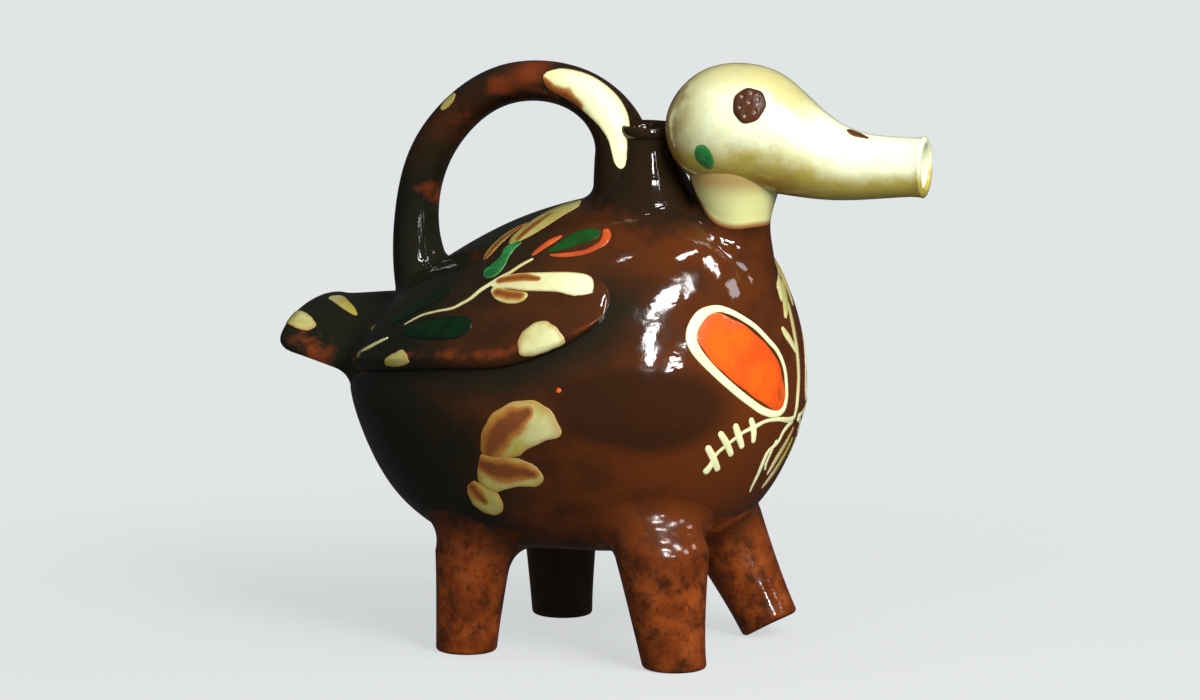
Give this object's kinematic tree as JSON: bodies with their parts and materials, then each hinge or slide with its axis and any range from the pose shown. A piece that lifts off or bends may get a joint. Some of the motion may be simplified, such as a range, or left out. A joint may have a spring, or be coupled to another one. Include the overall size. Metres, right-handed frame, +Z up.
{
  "type": "wedding jug",
  "caption": "Hand-thrown duck-shaped jug with a filler neck, a bow handle, legs, and a hollow head whose beak is the spout.",
  "frame": {"origin": "on the table under the middle of the jug's box, half way between the tip of the tail and the mouth of the beak", "axes": "+X the way the bird looks, +Y to the bird's left, +Z up"},
  "size_m": [0.2752, 0.156, 0.2381],
  "materials": {
    "brown_glaze": "glossy red-brown lead glaze over red earthenware, with trailed slip leaves, petals and an oval",
    "dark_glaze": "the same glaze where it pools nearly black",
    "cream_glaze": "clear glaze over cream slip, yellow-green where it is thick",
    "thin_glaze": "thin mottled brown glaze with the red clay showing through",
    "stamped_clay": "dark brown pellet with a pricked surface"
  },
  "bodies": {
    "root": {"belly": "brown_glaze", "filler_neck": "dark_glaze", "throat": "cream_glaze", "head": "cream_glaze", "eye_right": "stamped_clay", "eye_left": "stamped_clay", "handle": "brown_glaze", "tail": "brown_glaze", "wing_right": "brown_glaze", "wing_left": "brown_glaze", "leg_front_right": "thin_glaze", "leg_front_left": "thin_glaze", "leg_rear_right": "thin_glaze", "leg_rear_left": "thin_glaze"}
  },
  "joints": []
}
